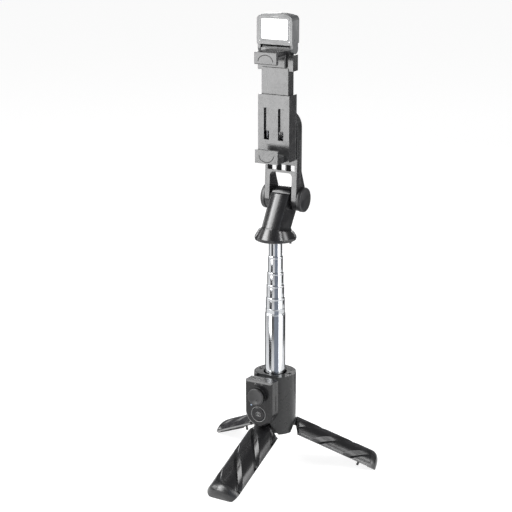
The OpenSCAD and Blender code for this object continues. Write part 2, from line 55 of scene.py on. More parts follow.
# finishes
# tint: colour, rough: mean roughness, vary: its spread, cloud: blotch size in mm, grain: grain size in mm,
# bump: grain depth in mm, worn: colour that edges rub to, wear: how much, stretch: grain drawn out along Z,
# spec: strength of the reflection, spin: turned on a lathe round X, glow: light given off
finishLooks = {
    "hub_plastic": dict(
        tint=(0.016, 0.0165, 0.017), spec=0.4, rough=0.3, vary=0.08, grain=0.35, bump=0.008,
        worn=(0.1, 0.1, 0.11), wear=0.15,
    ),
    "leg_plastic": dict(
        tint=(0.010, 0.010, 0.011), rough=0.24, vary=0.025, grain=0.5, bump=0.002,
        worn=(0.07, 0.07, 0.07), wear=0.12, coat=0.15,
    ),
    "foot_plastic": dict(
        tint=(0.016, 0.016, 0.017), rough=0.3, vary=0.08, grain=0.4, bump=0.01, worn=(0.1, 0.1, 0.1),
        wear=0.5, coat=0.2,
    ),
    "remote_plastic": dict(
        tint=(0.010, 0.010, 0.011), spec=0.35, rough=0.26, vary=0.05, grain=0.3, bump=0.015,
        worn=(0.1, 0.1, 0.1), wear=0.2,
    ),
    "joystick_rubber": dict(
        tint=(0.02, 0.02, 0.021), rough=0.36, vary=0.1, grain=0.25, bump=0.02, worn=(0.09, 0.09, 0.09),
        wear=0.5, sheen=0.15,
    ),
    "gloss_black": dict(
        tint=(0.008, 0.008, 0.009), rough=0.23, vary=0.03, grain=0.8, bump=0.002,
        worn=(0.08, 0.08, 0.08), wear=0.25, coat=0.2,
    ),
    # light grey on the remote's raised marks: painted highlight standing in for the light their edges catch
    "raised_mark_highlight": dict(
        tint=(0.3, 0.3, 0.3), rough=0.35, vary=0.05, grain=0.3, bump=0.004, worn=(0.5, 0.5, 0.5),
        wear=0.3,
    ),
    # dull near-black for the jaw arcs: painted shade standing in for the shaded groove round the pad
    "groove_shade_black": dict(
        tint=(0.008, 0.008, 0.008), spec=0.1, rough=0.8, vary=0.1, grain=0.3, bump=0.01,
        worn=(0.05, 0.05, 0.05), wear=0.2,
    ),
    "turned_black": dict(
        tint=(0.012, 0.012, 0.013), rough=0.34, vary=0.04, grain=0.3, bump=0.002,
        worn=(0.08, 0.08, 0.08), wear=0.3, spin=True,
    ),
    "clamp_plastic": dict(
        tint=(0.016, 0.016, 0.017), rough=0.26, vary=0.05, grain=0.35, bump=0.006,
        worn=(0.1, 0.1, 0.1), wear=0.3, coat=0.25,
    ),
    "lamp_plastic": dict(
        tint=(0.085, 0.087, 0.09), rough=0.32, vary=0.08, grain=0.35, bump=0.01, worn=(0.3, 0.3, 0.3),
        wear=0.4, coat=0.15,
    ),
    "chrome_tube": dict(
        tint=(0.47, 0.48, 0.495), rough=0.1, vary=0.03, grain=0.6, bump=0.0012,
        worn=(0.95, 0.95, 0.95), wear=0.3, metal=1.0, stretch=30,
    ),
    "bright_steel": dict(
        tint=(0.62, 0.62, 0.63), rough=0.27, vary=0.08, grain=0.25, bump=0.004, worn=(0.8, 0.8, 0.8),
        wear=0.4, metal=1.0, stretch=8,
    ),
    "contact_metal": dict(
        tint=(0.85, 0.85, 0.85), rough=0.2, vary=0.06, grain=0.3, bump=0.004, worn=(0.95, 0.95, 0.95),
        wear=0.4, metal=0.6,
    ),
    "black_nylon": dict(
        tint=(0.024, 0.024, 0.024), rough=0.55, vary=0.1, grain=0.3, bump=0.02,
        worn=(0.07, 0.07, 0.07), wear=0.4,
    ),
    "bush_plastic": dict(
        tint=(0.55, 0.55, 0.52), rough=0.5, vary=0.1, grain=0.3, bump=0.015, worn=(0.7, 0.7, 0.68),
        wear=0.4,
    ),
    "soft_rubber": dict(
        tint=(0.022, 0.022, 0.023), rough=0.72, vary=0.1, grain=0.3, bump=0.05,
        worn=(0.07, 0.07, 0.07), wear=0.5, sheen=0.2,
    ),
    "lit_diffuser": dict(
        tint=(0.9, 0.9, 0.89), rough=0.45, vary=0.06, grain=0.7, bump=0.03, worn=(1.0, 1.0, 1.0),
        wear=0.1, glow=1.6,
    ),
    "board_green": dict(
        tint=(0.03, 0.16, 0.07), rough=0.35, vary=0.1, grain=0.6, bump=0.01, worn=(0.3, 0.35, 0.2),
        wear=0.3,
    ),
    "led_yellow": dict(
        tint=(0.85, 0.74, 0.3), rough=0.25, vary=0.06, grain=0.5, bump=0.005, worn=(0.95, 0.9, 0.6),
        wear=0.2, glow=0.6,
    ),
    "cell_wrap": dict(
        tint=(0.28, 0.31, 0.35), rough=0.3, vary=0.08, grain=0.7, bump=0.01, worn=(0.5, 0.5, 0.5),
        wear=0.3,
    ),
    "light_pipe": dict(
        tint=(0.5, 0.62, 0.8), rough=0.15, vary=0.05, grain=0.6, bump=0.004, worn=(0.8, 0.85, 0.9),
        wear=0.2,
    ),
}


def makeFinish(name, tint, rough, vary, grain, bump, worn, wear, cloud=14, metal=0.0, spec=0.5, spin=False,
               coat=0.0, sheen=0.0, glow=0.0, stretch=1):
    mat = bpy.data.materials.new(name)
    mat.use_nodes = True
    tree = mat.node_tree
    shader = tree.nodes["Principled BSDF"]
    shader.inputs["Metallic"].default_value = metal
    shader.inputs["Specular IOR Level"].default_value = spec
    shader.inputs["Coat Weight"].default_value = coat
    shader.inputs["Coat Roughness"].default_value = 0.12
    shader.inputs["Sheen Weight"].default_value = sheen

    def add(kind, **values):
        node = tree.nodes.new(kind)
        for key, value in values.items():
            setattr(node, key, value)
        return node

    place = add("ShaderNodeTexCoord")
    drawn = add("ShaderNodeMapping")
    drawn.inputs["Scale"].default_value = (1, 1, 1 / stretch)
    tree.links.new(place.outputs["Object"], drawn.inputs["Vector"])

    def speckle(size, detail, source):
        noise = add("ShaderNodeTexNoise")
        noise.inputs["Scale"].default_value = 1 / (size * mm)
        noise.inputs["Detail"].default_value = detail
        tree.links.new(source, noise.inputs["Vector"])
        return noise.outputs["Fac"]

    blotch = speckle(cloud, 3, place.outputs["Object"])
    fine = speckle(grain, 2, drawn.outputs["Vector"])
    smudge = speckle(cloud * 0.4, 4, drawn.outputs["Vector"])

    # slightly uneven colour
    shade = add("ShaderNodeMix", data_type="RGBA")
    shade.inputs["A"].default_value = (*[c * 0.86 for c in tint], 1)
    shade.inputs["B"].default_value = (*[min(1, c * 1.14) for c in tint], 1)
    tree.links.new(blotch, shade.inputs["Factor"])

    # rubbed edges, broken up by the smudges
    shape = add("ShaderNodeNewGeometry")
    edge = add("ShaderNodeMapRange")
    edge.inputs["From Min"].default_value = 0.53
    edge.inputs["From Max"].default_value = 0.62
    edge.inputs["To Max"].default_value = wear
    tree.links.new(shape.outputs["Pointiness"], edge.inputs["Value"])
    patchy = add("ShaderNodeMath", operation="MULTIPLY")
    tree.links.new(edge.outputs["Result"], patchy.inputs[0])
    tree.links.new(smudge, patchy.inputs[1])
    rubbed = add("ShaderNodeMix", data_type="RGBA")
    rubbed.inputs["B"].default_value = (*worn, 1)
    tree.links.new(patchy.outputs["Value"], rubbed.inputs["Factor"])
    tree.links.new(shade.outputs["Result"], rubbed.inputs["A"])
    tree.links.new(rubbed.outputs["Result"], shader.inputs["Base Color"])

    # smudges and grain in the gloss
    matte = add("ShaderNodeMapRange")
    matte.inputs["From Min"].default_value = 0.3
    matte.inputs["From Max"].default_value = 0.7
    matte.inputs["To Min"].default_value = max(0.02, rough - vary)
    matte.inputs["To Max"].default_value = rough + vary
    tree.links.new(smudge, matte.inputs["Value"])
    tree.links.new(matte.outputs["Result"], shader.inputs["Roughness"])
    relief = add("ShaderNodeBump")
    relief.inputs["Strength"].default_value = 0.6
    relief.inputs["Distance"].default_value = bump * mm
    tree.links.new(fine, relief.inputs["Height"])
    tree.links.new(relief.outputs["Normal"], shader.inputs["Normal"])
    if spin:
        # fine turning marks round X
        turned = add("ShaderNodeTangent", direction_type="RADIAL", axis="X")
        shader.inputs["Anisotropic"].default_value = 0.85
        tree.links.new(turned.outputs["Tangent"], shader.inputs["Tangent"])
    if glow:
        tree.links.new(rubbed.outputs["Result"], shader.inputs["Emission Color"])
        shader.inputs["Emission Strength"].default_value = glow
    return mat


finishes = {name: makeFinish(name, **look) for name, look in finishLooks.items()}
print("finishes:", len(finishes))


# mesh helpers
def addPiece(name, mesh, body, finish, *stands, smooth=40, slot=None):
    mesh.shade_smooth()
    mesh.set_sharp_from_angle(angle=math.radians(smooth))
    mesh.materials.clear()
    mesh.materials.append(finishes[finish])
    obj = bpy.data.objects.new(name.replace(" ", "-"), mesh)
    bpy.context.scene.collection.objects.link(obj)
    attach(obj, body)
    if stands:
        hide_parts(*stands)
    return obj


def meshFrom(name, verts, faces, place=None):
    mesh = bpy.data.meshes.new(name)
    mesh.from_pydata([place @ Vector(v) if place else Vector(v) for v in verts], [], faces)
    bm = bmesh.new()
    bm.from_mesh(mesh)
    bmesh.ops.remove_doubles(bm, verts=bm.verts, dist=1e-7)
    bmesh.ops.recalc_face_normals(bm, faces=bm.faces)
    bm.to_mesh(mesh)
    bm.free()
    return mesh


def spun(name, profile, turns=96, place=None, knurl=0, knurlDepth=0.0, knurlRows=()):
    # profile is (radius, height) in mm, turned about Z
    verts, faces = [], []
    rows = len(profile)
    for i in range(turns):
        angle = 2 * math.pi * i / turns
        for k, (radius, height) in enumerate(profile):
            r = radius + (knurlDepth * math.cos(knurl * angle) if k in knurlRows else 0)
            verts.append((r * math.cos(angle) * mm, r * math.sin(angle) * mm, height * mm))
    for i in range(turns):
        j = (i + 1) % turns
        for k in range(rows - 1):
            faces.append((i * rows + k, j * rows + k, j * rows + k + 1, i * rows + k + 1))
        if profile[0][0] > 0 and profile[-1][0] > 0:
            faces.append((i * rows + rows - 1, j * rows + rows - 1, j * rows, i * rows))
    return meshFrom(name, verts, faces, place)


def slab(name, outline, low, high, edge, place=None, steps=2, angle=25):
    # outline in mm on X and Y, raised from low to high, with its edges rounded
    count = len(outline)
    verts = [(x * mm, y * mm, z * mm) for z in (low, high) for x, y in outline]
    faces = [tuple(range(count)), tuple(range(count, 2 * count))]
    faces += [(i, (i + 1) % count, count + (i + 1) % count, count + i) for i in range(count)]
    mesh = meshFrom(name, verts, faces, place)
    roundEdges(mesh, edge, steps, angle)
    return mesh


def wire(name, points, radius, closed=False, place=None, sides=10):
    # a thin bead along points in mm
    curve = bpy.data.curves.new(name, "CURVE")
    curve.dimensions = "3D"
    line = curve.splines.new("POLY")
    line.points.add(len(points) - 1)
    for target, point in zip(line.points, points):
        target.co = (*[c * mm for c in point], 1)
    line.use_cyclic_u = closed
    curve.bevel_depth = radius * mm
    curve.bevel_resolution = sides // 4
    curve.use_fill_caps = True
    holder = bpy.data.objects.new(name, curve)
    bpy.context.scene.collection.objects.link(holder)
    bpy.context.view_layer.update()
    mesh = bpy.data.meshes.new_from_object(holder.evaluated_get(bpy.context.evaluated_depsgraph_get()))
    bpy.data.objects.remove(holder)
    mesh.name = name
    if place:
        mesh.transform(place)
    bm = bmesh.new()
    bm.from_mesh(mesh)
    bmesh.ops.remove_doubles(bm, verts=bm.verts, dist=1e-7)
    bmesh.ops.recalc_face_normals(bm, faces=bm.faces)
    bm.to_mesh(mesh)
    bm.free()
    return mesh


def roundEdges(mesh, edge, steps=2, angle=25):
    bm = bmesh.new()
    bm.from_mesh(mesh)
    sharp = [e for e in bm.edges if len(e.link_faces) == 2 and e.calc_face_angle(0) > math.radians(angle)]
    bmesh.ops.bevel(bm, geom=sharp, offset=edge * mm, offset_type="OFFSET", segments=steps, profile=0.5,
                    affect="EDGES", clamp_overlap=True)
    bm.to_mesh(mesh)
    bm.free()


def softMesh(node, edge, steps, angle):
    bm = bmesh.new()
    bm.from_mesh(nodes[node].data)
    bmesh.ops.remove_doubles(bm, verts=bm.verts, dist=2e-6)
    bmesh.ops.dissolve_limit(bm, angle_limit=math.radians(0.6), verts=bm.verts, edges=bm.edges)
    sharp = [e for e in bm.edges if len(e.link_faces) == 2 and e.calc_face_angle(0) > math.radians(angle)]
    bmesh.ops.bevel(bm, geom=sharp, offset=edge * mm, offset_type="OFFSET", segments=steps, profile=0.5,
                    affect="EDGES", clamp_overlap=True)
    bmesh.ops.dissolve_degenerate(bm, dist=1e-6, edges=bm.edges)
    mesh = bpy.data.meshes.new(node + " moulded")
    bm.to_mesh(mesh)
    bm.free()
    return mesh


def mould(name, node, edge, steps=2, angle=35, smooth=40):
    obj = addPiece(name, softMesh(node, edge, steps, angle), nodeBody[node], nodeSlot[node], node,
                   smooth=smooth)
    # the large faces stay flat to the light beside their rounded edges
    even = obj.modifiers.new("even shading", "WEIGHTED_NORMAL")
    even.weight = 100
    even.keep_sharp = True
    return obj


# nodes that keep the CAD's shape
for node, obj in nodes.items():
    obj.data.materials.clear()
    obj.data.materials.append(finishes[nodeSlot[node]])
    obj.data.shade_smooth()
    obj.data.set_sharp_from_angle(angle=math.radians(35))
print("nodes finished:", len(nodes))

# legs
legShape = dict(
    outerR=16.2, wall=2.2, halfAngle=58, length=78, tipLength=7.5, rootZ=-4.8, archDrop=6.0, rimRound=0.5,
    chord=6.4,
    grooveDepth=1.75, grooveWidth=5.4, grooveTwist=1.43, grooveStep=27, grooveStart=-20, grooveLean=0.3,
    archStart=4.6, archReach=11.4, archPower=1.3, rootFade=2.5, tipFade=2.0, rimFade=0.06,
    rootSoft=1.2, rootDrop=0.7, nose=6.5, tipEdge=0.45, aroundCount=150, alongCount=190,
)


def legPlace(joint):
    x, y, z = joint["pos_m"]
    swing = -math.radians(joint["range_deg"][0])
    reach = math.hypot(x, y)
    return (Matrix.Rotation(math.atan2(y, x), 4, "Z") @ Matrix.Translation((reach, 0, z))
            @ Matrix.Rotation(-swing, 4, "Y") @ Matrix.Translation((-reach, 0, 0)))


def grooveCut(s, z):
    look = legShape
    along = (z - look["grooveStart"] + look["grooveTwist"] * s) / look["grooveStep"]
    half, crest = look["grooveWidth"] / 2, look["grooveLean"]
    across = (along - round(along)) * look["grooveStep"] / math.hypot(1, look["grooveTwist"]) / half
    if abs(across) >= 1:
        return 0
    # steep on one flank, long on the other
    return look["grooveDepth"] * ((1 - across) / (1 + crest) if across > -crest else (1 + across) / (1 - crest))


def legShell(name, joint, body, *stands):
    look = legShape
    half = math.radians(look["halfAngle"])
    count, rows = look["aroundCount"], look["alongCount"]
    outer, wall, r = look["outerR"], look["wall"], look["rimRound"]
    zTip = look["tipLength"] - look["length"] + 0.01
    verts, faces = [], []
    # a closed loop of points round the wall's section, repeated along the leg
    loop = []
    for i in range(count + 1):
        loop.append((-half + 2 * half * i / count, outer, True))
    for t in (30, 60, 90):
        a = math.radians(t)
        loop.append((half, outer - r * (1 - math.cos(a)), False))
    for i in range(count // 3 + 1):
        loop.append((half - 2 * half * i / (count // 3), outer - wall, False))
    for t in (60, 30):
        a = math.radians(t)
        loop.append((-half, outer - r * (1 - math.cos(a)), False))
    for k in range(rows + 1):
        v = k / rows
        for angle, radius, skin in loop:
            y = outer * math.sin(angle)
            outward = max(0, (abs(y) - look["archStart"]) / look["archReach"])
            zRoot = look["rootZ"] - look["archDrop"] * outward ** look["archPower"]
            z = zRoot + (zTip - zRoot) * v
            cut = 0
            if skin:
                ends = min(1, (zRoot - z) / look["rootFade"], (z - zTip) / look["tipFade"])
                rim = min(1, (half - abs(angle)) / look["rimFade"])
                cut = grooveCut(outer * angle, z) * max(0, ends) * max(0.0, rim)
                cut += look["rootDrop"] * max(0, 1 - (zRoot - z) / look["rootSoft"]) ** 2
            verts.append(((radius - cut) * math.cos(angle) * mm, (radius - cut) * math.sin(angle) * mm,
                          z * mm))
    n = len(loop)
    for k in range(rows):
        for i in range(n):
            j = (i + 1) % n
            faces.append((k * n + i, k * n + j, (k + 1) * n + j, (k + 1) * n + i))
    for k in (0, rows):
        faces.append(tuple(k * n + i for i in range(n)))
    mesh = meshFrom(name, verts, faces, legPlace(joint))
    return addPiece(name, mesh, body, "leg_plastic", *stands, smooth=50)


def legTip(name, joint, body, node):
    look = legShape
    half, outer, nose, chord = math.radians(look["halfAngle"]), look["outerR"], look["nose"], look["chord"]
    floorZ, topZ = -look["length"], look["tipLength"] - look["length"]
    heights = [(floorZ + nose * (1 - math.cos(math.radians(t))),
                outer - nose + nose * math.sin(math.radians(t)))
               for t in range(0, 91, 6)] + [(topZ, outer)]
    verts, faces, count = [], [], 40
    for z, radius in heights:
        limit = min(half, math.acos(chord / radius))
        for i in range(count + 1):
            angle = -limit + 2 * limit * i / count
            verts.append((radius * math.cos(angle), radius * math.sin(angle), z))
        inner = chord * math.tan(limit)
        verts += [(chord, inner, z), (chord, -inner, z)]
    n = count + 3
    for k in range(len(heights) - 1):
        faces += [(k * n + i, k * n + (i + 1) % n, (k + 1) * n + (i + 1) % n, (k + 1) * n + i)
                  for i in range(n)]
    faces += [tuple(range(n)), tuple((len(heights) - 1) * n + i for i in range(n))]
    mesh = meshFrom(name, [[c * mm for c in v] for v in verts], faces, legPlace(joint))
    roundEdges(mesh, look["tipEdge"], 3, 32)
    return addPiece(name, mesh, body, "foot_plastic", node, smooth=40)


hingeLook = dict(
    lugR=2, ribInX=13.4, ribOutX=14.8, ribLow=-14.6, ribHigh=-3.2, halfWidth=4.0, edge=0.35,
    pegPlace=(11.2, -9.6, -63),
    pegProfile=[(0, 0), (1.3, 0), (1.3, 0.4), (1.0, 0.9), (1.0, 6.6), (0.75, 7.1), (0, 7.3)],
)


def legHinge(name, joint, body):
    # lug round the hinge pin with the rib that carries it, lying in the leg's own frame
    look, place = hingeLook, legPlace(joint)
    pinX = math.hypot(*joint["pos_m"][:2]) / mm
    r = look["lugR"]
    outline = [(pinX + r * math.cos(math.radians(t)), r * math.sin(math.radians(t)))
               for t in range(40, 260, 15)]
    outline += [(look["ribInX"], look["ribLow"]), (look["ribOutX"], look["ribLow"]),
                (look["ribOutX"], look["ribHigh"])]
    upright = place @ Matrix.Rotation(math.radians(90), 4, "X")
    lug = slab(name, outline, -look["halfWidth"], look["halfWidth"], look["edge"], upright)
    addPiece(name, lug, body, "leg_plastic")
    inward = Matrix.Translation([c * mm for c in look["pegPlace"]]) @ Matrix.Rotation(math.radians(-90), 4,
                                                                                      "Y")
    addPiece(name + " peg", spun(name + " peg", look["pegProfile"], 32, place @ inward), body, "leg_plastic")


for key in "abc":
    joint, body = hinges["fold_leg_" + key], "leg_" + key
    legShell("leg shell " + key, joint, body, body)
    legHinge("leg hinge " + key, joint, body)
    legTip("leg tip " + key, joint, body, "foot_" + key)
print("legs done")

# hub
hubLook = dict(edge=0.35, rim=0.42, dockHalf=9.35, dockArcZ=52.4, hubR=16.1, rimDrop=0.3, rimSteps=12,
               topEdge=0.3, catchEdge=0.25, carrierEdge=0.3, screwEdge=0.12)
mould("hub shell piece", "hub_shell", hubLook["edge"], 3)
mould("hub top piece", "hub_top_plate", hubLook["topEdge"], 2)
mould("dock catch piece", "dock_catch", hubLook["catchEdge"], 2)
mould("leg carrier piece", "leg_carrier", hubLook["carrierEdge"], 2)
mould("carrier screws piece", "carrier_screws", hubLook["screwEdge"], 2)


def dockRim():
    # raised bead round the dock's mouth
    half, arcZ, radius, steps = (hubLook[k] for k in ("dockHalf", "dockArcZ", "hubR", "rimSteps"))
    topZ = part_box("hub_shell")[1].z / mm - hubLook["rimDrop"]
    flat = [(-half, topZ - k * (topZ - arcZ) / steps) for k in range(steps)]
    flat += [(-half * math.cos(math.radians(t)), arcZ - half * math.sin(math.radians(t)))
             for t in range(0, 181, 5)]
    flat += [(half, arcZ + k * (topZ - arcZ) / steps) for k in range(1, steps + 1)]
    points = [(x, -math.sqrt(radius ** 2 - x * x), z) for x, z in flat]
    addPiece("dock rim", wire("dock rim", points, hubLook["rim"]), "base", "hub_plastic")


dockRim()
print("hub done")

# mast
mastLook = dict(wall=0.3, bead=0.07, beadGap=2.6, collarEdge=0.08)


def mastTube(index):
    node = f"mast_section_{index}"
    low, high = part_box(node)
    r, z0, z1 = high.x / mm, low.z / mm, high.z / mm
    bead, gap, wall = mastLook["bead"], mastLook["beadGap"], mastLook["wall"]
    profile = [(r - wall, z0), (r - 0.08, z0), (r, z0 + 0.12)]
    profile += [(r, z0 + (z1 - gap - z0) * k / 10) for k in range(1, 11)]
    profile += [(r - bead, z1 - gap + 0.3), (r - bead, z1 - gap + 0.7), (r, z1 - gap + 1.0), (r, z1 - 0.35),
                (r - 0.1, z1 - 0.1), (r - 0.28, z1)]
    profile += [(r - 0.46, z1 - 0.05), (r - 0.46, z1 - 1.2),
                (r - wall, z1 - 1.7)] if index < 6 else [(r - wall, z1)]
    if index == 1:
        profile = [(r - wall, z0), (r - 0.08, z0), (r, z0 + 0.12), (r, z1 - 0.3), (r - 0.12, z1),
                   (r - wall, z1)]
    mesh = spun(f"mast tube {index}", profile, 128)
    addPiece(f"mast tube {index}", mesh, nodeBody[node], "chrome_tube", node, smooth=30)


for index in range(1, 7):
    mastTube(index)
mould("mast collar piece", "mast_collar", mastLook["collarEdge"], 2, 25)
print("mast done")

# neck and pivot
pivotLook = dict(neckEdge=0.55, forkEdge=0.45, washerEdge=0.15)
mould("neck piece", "neck", pivotLook["neckEdge"], 3, 30)
mould("fork piece", "fork", pivotLook["forkEdge"], 3, 30)
mould("pivot washers", "friction_washers", pivotLook["washerEdge"], 2)

capLook = dict(dish=0.62, ring=0.03, rings=32, rimWidth=1.5)


def pivotCap(side):
    # shallow dish with a rounded rim and fine turned rings
    low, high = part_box("pivot_caps")
    middle = (low + high) / 2
    inner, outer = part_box("fork")[1].x / mm, high.x / mm
    radius = (high.y - low.y) / 2 / mm
    dish, ring, rings = capLook["dish"], capLook["ring"], capLook["rings"]
    profile = [(0, outer - dish)]
    for k in range(1, rings + 1):
        r = (radius - capLook["rimWidth"]) * k / rings
        profile.append((r, outer - dish * (1 - (k / rings) ** 2) - (ring if k % 2 else 0.0)))
    profile += [(radius - 1.1, outer), (radius - 0.6, outer - 0.08), (radius - 0.2, outer - 0.3),
                (radius, outer - 0.7),
                (radius, inner + 0.4), (radius - 0.4, inner + 0.05), (0, inner + 0.05)]
    place = Matrix.Translation((0, middle.y, middle.z)) @ Matrix.Rotation(math.radians(90 * side), 4, "Y")
    return spun("cap", profile, 96, place)


for side, name in ((1, "right pivot cap"), (-1, "left pivot cap")):
    mesh = pivotCap(side)
    mesh.name = name
    addPiece(name, mesh, "holder", "turned_black", *(["pivot_caps"] if side == 1 else []), slot="gloss_black")
print("neck done")

# phone clamp
clampLook = dict(edge=0.35, jawEdge=0.7, arcR=6.1, arcFlat=0.8, arcWire=0.28, arcProud=0.06,
                 lowerRise=0.4, upperRise=6.0)
mould("clamp housing piece", "clamp_housing", clampLook["edge"], 3)
mould("clamp cover piece", "clamp_cover", clampLook["edge"], 2)
mould("slider piece", "slider", clampLook["edge"], 3)
mould("upper jaw piece", "upper_jaw", clampLook["jawEdge"], 3)

screwLook = dict(shank=1.45, headR=3.6, headRise=0.6, headSink=0.62, slotLong=1.9, slotWide=0.35)


def rotorScrew():
    # wide washer with a domed cross-head screw, seen from behind
    low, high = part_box("rotor_screw")
    look, middle = screwLook, (low + high) / 2
    back, front, r = high.y / mm, low.y / mm, (high.x - low.x) / 2 / mm
    place = Matrix.Translation((0, 0, middle.z)) @ Matrix.Rotation(math.radians(-90), 4, "X")
    shank, rise, sink = look["shank"], look["headRise"], look["headSink"]
    washer = [(0, front), (shank, front), (shank, back - 1.1), (r, back - 1.1), (r, back - 0.35),
              (r - 0.3, back - 0.15),
              (r - 1.2, back - 0.15), (r - 1.5, back - 0.45), (4.3, back - 0.45), (4.1, back - 0.6),
              (0, back - 0.6)]
    addPiece("rotor washer", spun("rotor washer", washer, 96, place), "clamp", "black_nylon", "rotor_screw")
    head = [(0, back - sink)]
    for t in range(84, -1, -7):
        a = math.radians(t)
        head.append((look["headR"] * math.sin(a), back - sink + rise * math.cos(a) ** 0.5))
    addPiece("rotor screw head", spun("rotor screw head", head, 64, place), "clamp", "bright_steel")
    # the cross recess is not cut: two dark bars lying on the head stand in for its shade, painted shade
    long, wide = look["slotLong"], look["slotWide"]
    bar = [(-long, -wide), (long, -wide), (long, wide), (-long, wide)]
    for turn in (0, 90):
        turned = place @ Matrix.Rotation(math.radians(turn), 4, "Z")
        slot = slab("rotor slot", bar, back - 0.3, back - 0.005, 0.08, turned)
        addPiece(f"rotor slot {turn}", slot, "clamp", "black_nylon")


rotorScrew()
springLook = dict(wire=0.32, turns=22, steps=14)


def clampSprings():
    # two wound springs inside the housing
    low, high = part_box("clamp_springs")
    look, outer = springLook, (high.y - low.y) / 2 / mm
    count, mean = look["turns"] * look["steps"], outer - look["wire"]
    x0, y0, z0 = high.x / mm - outer, (low.y + high.y) / 2 / mm, low.z / mm + look["wire"]
    tall = (high.z - low.z) / mm - 2 * look["wire"]
    for side, name in ((1, "right clamp spring"), (-1, "left clamp spring")):
        points = []
        for k in range(count + 1):
            angle = 2 * math.pi * k / look["steps"]
            points.append((side * x0 + mean * math.cos(angle), y0 + mean * math.sin(angle),
                           z0 + tall * k / count))
        addPiece(name, wire(name, points, look["wire"]), nodeBody["clamp_springs"], nodeSlot["clamp_springs"],
                 *(["clamp_springs"] if side == 1 else []))


clampSprings()
padLook = dict(ribs=9, steps=6, depth=0.32, edge=0.05)


def ribbedPad(node, up):
    # grip pad with ribs across its free face
    low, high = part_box(node)
    x0, x1, y0, y1 = low.x / mm, high.x / mm, low.y / mm, high.y / mm
    base, tip = (low.z / mm, high.z / mm) if up > 0 else (high.z / mm, low.z / mm)
    steps, count = padLook["steps"], padLook["ribs"] * padLook["steps"]
    line = [(y0, base)]
    for k in range(count + 1):
        wave = 0.5 - 0.5 * math.cos(2 * math.pi * k / steps)
        line.append((y0 + (y1 - y0) * k / count, tip - up * padLook["depth"] * wave))
    line.append((y1, base))
    stand = Matrix(((0, 0, 1, 0), (1, 0, 0, 0), (0, 1, 0, 0), (0, 0, 0, 1)))
    mesh = slab(node + " ribbed", line, x0, x1, padLook["edge"], stand, 1, 60)
    addPiece(node + " ribbed", mesh, nodeBody[node], "soft_rubber", node, smooth=50)


ribbedPad("lower_pad", 1)
ribbedPad("upper_pad", -1)


def jawArc(name, node, body, baseZ, up):
    # dull dark half ring on the lip's front: painted shade where the groove round the pad is shaded
    r, frontY = clampLook["arcR"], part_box(node)[0].y / mm + clampLook["arcProud"]
    points = []
    for t in range(0, 181, 6):
        a = math.radians(t)
        points.append((r * math.cos(a), frontY, baseZ + up * r * math.sin(a) * clampLook["arcFlat"]))
    addPiece(name, wire(name, points, clampLook["arcWire"]), body, "groove_shade_black", slot="clamp_plastic")


jawArc("lower jaw arc", "clamp_housing", "clamp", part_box("lower_pad")[1].z / mm + clampLook["lowerRise"], -1)
jawArc("upper jaw arc", "upper_jaw", "upper_clamp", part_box("upper_jaw")[0].z / mm + clampLook["upperRise"], 1)
print("clamp done")

# lamp
lampLook = dict(
    barrelR=2.66, barrelBore=2.2, barrelReach=12.1, barrelStep=0.45, knuckleX=4.1, gap=0.35, caseEdge=0.45,
    backEdge=1.0,
    bezelWide=1.5, bezelCorner=1.2, bezelThick=0.25,
    diffuserEdge=0.12, buttonEdge=0.25,
)


def lampBarrel():
    # knuckles round the hinge pin, parted by two narrow gaps
    low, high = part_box("lamp_pin")
    middle, look = (low + high) / 2, lampLook
    r, reach, gap, step, bore = (look[k] for k in ("barrelR", "barrelReach", "gap", "barrelStep",
                                                   "barrelBore"))
    profile = [(bore, -reach), (r - 0.2, -reach), (r, -reach + 0.2)]
    for x in (-look["knuckleX"], look["knuckleX"]):
        profile += [(r, x - gap), (r - step, x - gap / 2), (r - step, x + gap / 2), (r, x + gap)]
    profile += [(r, reach - 0.2), (r - 0.2, reach), (bore, reach)]
    place = Matrix.Translation((0, middle.y, middle.z)) @ Matrix.Rotation(math.radians(90), 4, "Y")
    addPiece("lamp barrel", spun("lamp barrel", profile, 64, place), "upper_clamp", "lamp_plastic")


lampBarrel()
mould("lamp case piece", "lamp_case", lampLook["caseEdge"], 3, 30)
mould("lamp back piece", "lamp_back", lampLook["backEdge"], 3, 40)
mould("lamp diffuser piece", "lamp_diffuser", lampLook["diffuserEdge"], 2, 40)
mould("lamp button piece", "lamp_button", lampLook["buttonEdge"], 2)


def lampBezel():
    # flat frame lying on the rim of the diffuser
    low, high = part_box("lamp_diffuser")
    x0, x1, z0, z1, front = low.x / mm, high.x / mm, low.z / mm, high.z / mm, low.y / mm
    width, corner, thick = lampLook["bezelWide"], lampLook["bezelCorner"], lampLook["bezelThick"]

    def loop(inset, y):
        points = []
        for cx, cz, start in ((x1, z1, 0), (x0, z1, 90), (x0, z0, 180), (x1, z0, 270)):
            mx = cx - math.copysign(corner + inset, cx)
            mz = cz - (corner + inset) * (1 if cz == z1 else -1)
            for t in range(0, 91, 15):
                a = math.radians(start + t)
                points.append((mx + corner * math.cos(a), y, mz + corner * math.sin(a)))
        return points

    rings = [loop(0, front - 0.01), loop(0, front - thick), loop(width, front - thick),
             loop(width + 0.15, front - 0.01)]
    n, faces = len(rings[0]), []
    verts = [[c * mm for c in p] for ring in rings for p in ring]
    for k in range(4):
        here, there = k * n, (k + 1) % 4 * n
        faces += [(here + i, here + (i + 1) % n, there + (i + 1) % n, there + i) for i in range(n)]
    addPiece("lamp bezel", meshFrom("lamp bezel", verts, faces), nodeBody["lamp_diffuser"], "lamp_plastic")


lampBezel()
print("lamp done")

